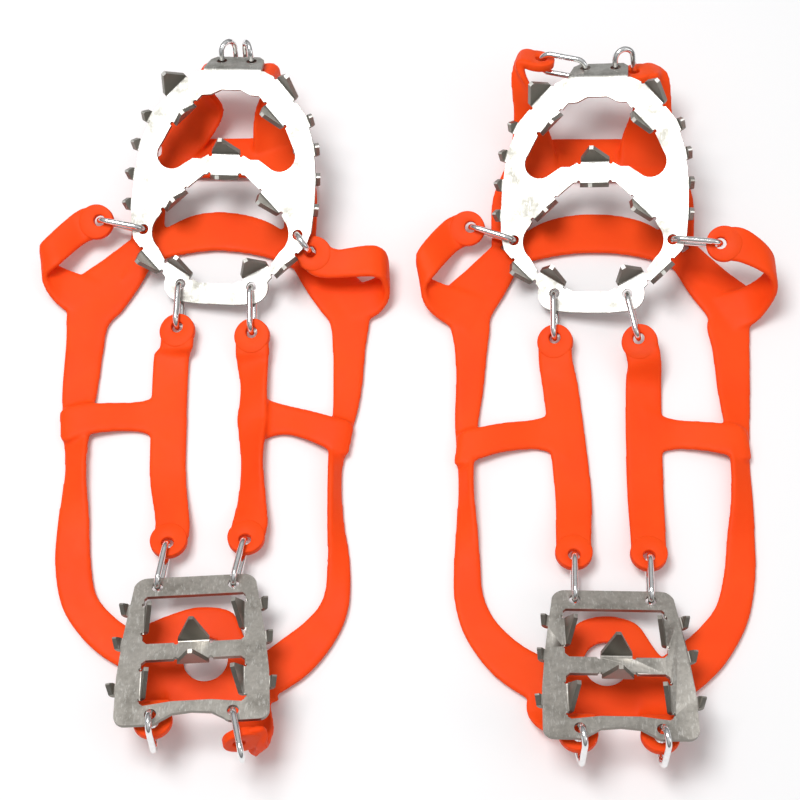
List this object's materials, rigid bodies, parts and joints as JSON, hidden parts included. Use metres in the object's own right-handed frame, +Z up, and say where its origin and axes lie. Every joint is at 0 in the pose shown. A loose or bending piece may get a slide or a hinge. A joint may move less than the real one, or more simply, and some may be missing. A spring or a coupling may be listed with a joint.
{
  "type": "strap-on shoe ice cleats",
  "caption": "Strap-on shoe ice cleats: a stretchy moulded harness holds a toothed forefoot plate and a toothed heel plate on wire links.",
  "frame": {"origin": "on the floor under the middle of the pair's box, with both cleats lying spikes up", "axes": "+X to the right-hand cleat, +Y towards the toes, +Z up to the points of the spikes"},
  "size_m": [0.3331, 0.3323, 0.0581],
  "materials": {
    "silicone": "satin",
    "forefoot_steel": "bright stamped sheet",
    "heel_steel": "tumbled stamped sheet",
    "wire_steel": "polished wire"
  },
  "bodies": {
    "left_harness": {"left_harness": "silicone"},
    "left_forefoot_plate": {"left_forefoot_plate": "forefoot_steel"},
    "left_heel_plate": {"left_heel_plate": "heel_steel"},
    "left_toe_link_1": {"left_toe_link_1": "wire_steel"},
    "left_toe_link_2": {"left_toe_link_2": "wire_steel"},
    "left_side_link_1": {"left_side_link_1": "wire_steel"},
    "left_side_link_2": {"left_side_link_2": "wire_steel"},
    "left_rear_link_1": {"left_rear_link_1": "wire_steel"},
    "left_rear_link_2": {"left_rear_link_2": "wire_steel"},
    "left_arch_link_1": {"left_arch_link_1": "wire_steel"},
    "left_arch_link_2": {"left_arch_link_2": "wire_steel"},
    "left_heel_link_1": {"left_heel_link_1": "wire_steel"},
    "left_heel_link_2": {"left_heel_link_2": "wire_steel"},
    "right_harness": {"right_harness": "silicone"},
    "right_forefoot_plate": {"right_forefoot_plate": "forefoot_steel"},
    "right_heel_plate": {"right_heel_plate": "heel_steel"},
    "right_toe_link_1": {"right_toe_link_1": "wire_steel"},
    "right_toe_link_2": {"right_toe_link_2": "wire_steel"},
    "right_side_link_1": {"right_side_link_1": "wire_steel"},
    "right_side_link_2": {"right_side_link_2": "wire_steel"},
    "right_rear_link_1": {"right_rear_link_1": "wire_steel"},
    "right_rear_link_2": {"right_rear_link_2": "wire_steel"},
    "right_arch_link_1": {"right_arch_link_1": "wire_steel"},
    "right_arch_link_2": {"right_arch_link_2": "wire_steel"},
    "right_heel_link_1": {"right_heel_link_1": "wire_steel"},
    "right_heel_link_2": {"right_heel_link_2": "wire_steel"}
  },
  "joints": [
    {"name": "right_cleat_lift", "type": "slide", "parent": "left_harness", "child": "right_harness", "axis": [0, 0, 1], "range_m": [0, 0.0001]},
    {"name": "left_forefoot_float", "type": "slide", "parent": "left_harness", "child": "left_forefoot_plate", "axis": [-0.159, -0.2791, 0.947], "range_m": [0, 0.0018]},
    {"name": "left_heel_float", "type": "slide", "parent": "left_harness", "child": "left_heel_plate", "axis": [-0.0162, 0.3086, 0.9511], "range_m": [0, 0.0016]},
    {"name": "left_toe_link_1_slide", "type": "slide", "parent": "left_harness", "child": "left_toe_link_1", "axis": [-0.159, -0.2791, 0.947], "range_m": [0, 0.000918]},
    {"name": "left_toe_link_2_slide", "type": "slide", "parent": "left_harness", "child": "left_toe_link_2", "axis": [-0.159, -0.2791, 0.947], "range_m": [0, 0.000918]},
    {"name": "left_side_link_1_swing", "type": "hinge", "parent": "left_harness", "child": "left_side_link_1", "pos_m": [-0.139, 0.08565, 0.01206], "axis": [-0.2031, -0.9294, -0.308], "range_deg": [0, 5.1]},
    {"name": "left_side_link_2_slide", "type": "slide", "parent": "left_harness", "child": "left_side_link_2", "axis": [-0.159, -0.2791, 0.947], "range_m": [0, 0.000918]},
    {"name": "left_rear_link_1_swing", "type": "hinge", "parent": "left_harness", "child": "left_rear_link_1", "pos_m": [-0.1016, 0.03457, 0.00635], "axis": [0.9873, -0.0429, 0.1532], "range_deg": [0, 5.2]},
    {"name": "left_rear_link_2_swing", "type": "hinge", "parent": "left_harness", "child": "left_rear_link_2", "pos_m": [-0.06792, 0.03135, 0.008], "axis": [0.9866, -0.0094, 0.1629], "range_deg": [0, 5.1]},
    {"name": "left_arch_link_1_swing", "type": "hinge", "parent": "left_harness", "child": "left_arch_link_1", "pos_m": [-0.10072, -0.0677, 0.00789], "axis": [-0.9898, 0.1298, -0.059], "range_deg": [0, 4.6]},
    {"name": "left_arch_link_2_swing", "type": "hinge", "parent": "left_harness", "child": "left_arch_link_2", "pos_m": [-0.06769, -0.06619, 0.00796], "axis": [-0.981, 0.179, -0.0748], "range_deg": [0, 4.6]},
    {"name": "left_heel_link_1_slide", "type": "slide", "parent": "left_harness", "child": "left_heel_link_1", "axis": [-0.0162, 0.3086, 0.9511], "range_m": [0, 0.000816]},
    {"name": "left_heel_link_2_slide", "type": "slide", "parent": "left_harness", "child": "left_heel_link_2", "axis": [-0.0162, 0.3086, 0.9511], "range_m": [0, 0.000571]},
    {"name": "right_forefoot_float", "type": "slide", "parent": "right_harness", "child": "right_forefoot_plate", "axis": [-0.2541, -0.2729, 0.9279], "range_m": [0, 0.0018]},
    {"name": "right_heel_float", "type": "slide", "parent": "right_harness", "child": "right_heel_plate", "axis": [0.0054, 0.309, 0.9511], "range_m": [0, 0.0016]},
    {"name": "right_toe_link_1_swing", "type": "hinge", "parent": "right_harness", "child": "right_toe_link_1", "pos_m": [0.06288, 0.1561, 0.03484], "axis": [-0.2094, -0.9211, -0.3282], "range_deg": [0, 5.1]},
    {"name": "right_toe_link_2_slide", "type": "slide", "parent": "right_harness", "child": "right_toe_link_2", "axis": [-0.2541, -0.2729, 0.9279], "range_m": [0, 0.000918]},
    {"name": "right_side_link_1_swing", "type": "hinge", "parent": "right_harness", "child": "right_side_link_1", "pos_m": [0.03056, 0.08302, 0.01081], "axis": [-0.3064, -0.8872, -0.3448], "range_deg": [0, 5.1]},
    {"name": "right_side_link_2_swing", "type": "hinge", "parent": "right_harness", "child": "right_side_link_2", "pos_m": [0.14058, 0.0648, 0.03006], "axis": [0.109, 0.9452, 0.3078], "range_deg": [0, 5.1]},
    {"name": "right_rear_link_1_swing", "type": "hinge", "parent": "right_harness", "child": "right_rear_link_1", "pos_m": [0.068, 0.02969, 0.00538], "axis": [0.9668, -0.0461, 0.2512], "range_deg": [0, 5.1]},
    {"name": "right_rear_link_2_swing", "type": "hinge", "parent": "right_harness", "child": "right_rear_link_2", "pos_m": [0.10465, 0.02662, 0.01215], "axis": [0.9404, 0.1547, 0.303], "range_deg": [0, 5.1]},
    {"name": "right_arch_link_1_swing", "type": "hinge", "parent": "right_harness", "child": "right_arch_link_1", "pos_m": [0.07264, -0.07287, 0.00777], "axis": [-0.9994, 0.034, -0.0054], "range_deg": [0, 4.6]},
    {"name": "right_arch_link_2_swing", "type": "hinge", "parent": "right_harness", "child": "right_arch_link_2", "pos_m": [0.10464, -0.07343, 0.00777], "axis": [-0.9994, 0.034, -0.0054], "range_deg": [0, 4.6]},
    {"name": "right_heel_link_1_slide", "type": "slide", "parent": "right_harness", "child": "right_heel_link_1", "axis": [0.0054, 0.309, 0.9511], "range_m": [0, 0.000816]},
    {"name": "right_heel_link_2_slide", "type": "slide", "parent": "right_harness", "child": "right_heel_link_2", "axis": [0.0054, 0.309, 0.9511], "range_m": [0, 0.000816]}
  ],
  "couplings": [
    {"joint": "left_toe_link_1_slide", "follows": "left_forefoot_float", "ratio": 0.5},
    {"joint": "left_toe_link_2_slide", "follows": "left_forefoot_float", "ratio": 0.5},
    {"joint": "left_side_link_1_swing", "follows": "left_forefoot_float", "rad_per_m": 47.736},
    {"joint": "left_side_link_2_slide", "follows": "left_forefoot_float", "ratio": 0.5},
    {"joint": "left_rear_link_1_swing", "follows": "left_forefoot_float", "rad_per_m": 48.683},
    {"joint": "left_rear_link_2_swing", "follows": "left_forefoot_float", "rad_per_m": 47.735},
    {"joint": "left_arch_link_1_swing", "follows": "left_heel_float", "rad_per_m": 48.087},
    {"joint": "left_arch_link_2_swing", "follows": "left_heel_float", "rad_per_m": 48.087},
    {"joint": "left_heel_link_1_slide", "follows": "left_heel_float", "ratio": 0.5},
    {"joint": "left_heel_link_2_slide", "follows": "left_heel_float", "ratio": 0.35},
    {"joint": "right_toe_link_1_swing", "follows": "right_forefoot_float", "rad_per_m": 48.125},
    {"joint": "right_toe_link_2_slide", "follows": "right_forefoot_float", "ratio": 0.5},
    {"joint": "right_side_link_1_swing", "follows": "right_forefoot_float", "rad_per_m": 48.087},
    {"joint": "right_side_link_2_swing", "follows": "right_forefoot_float", "rad_per_m": 47.882},
    {"joint": "right_rear_link_1_swing", "follows": "right_forefoot_float", "rad_per_m": 48.087},
    {"joint": "right_rear_link_2_swing", "follows": "right_forefoot_float", "rad_per_m": 47.648},
    {"joint": "right_arch_link_1_swing", "follows": "right_heel_float", "rad_per_m": 48.087},
    {"joint": "right_arch_link_2_swing", "follows": "right_heel_float", "rad_per_m": 48.087},
    {"joint": "right_heel_link_1_slide", "follows": "right_heel_float", "ratio": 0.5},
    {"joint": "right_heel_link_2_slide", "follows": "right_heel_float", "ratio": 0.5}
  ]
}
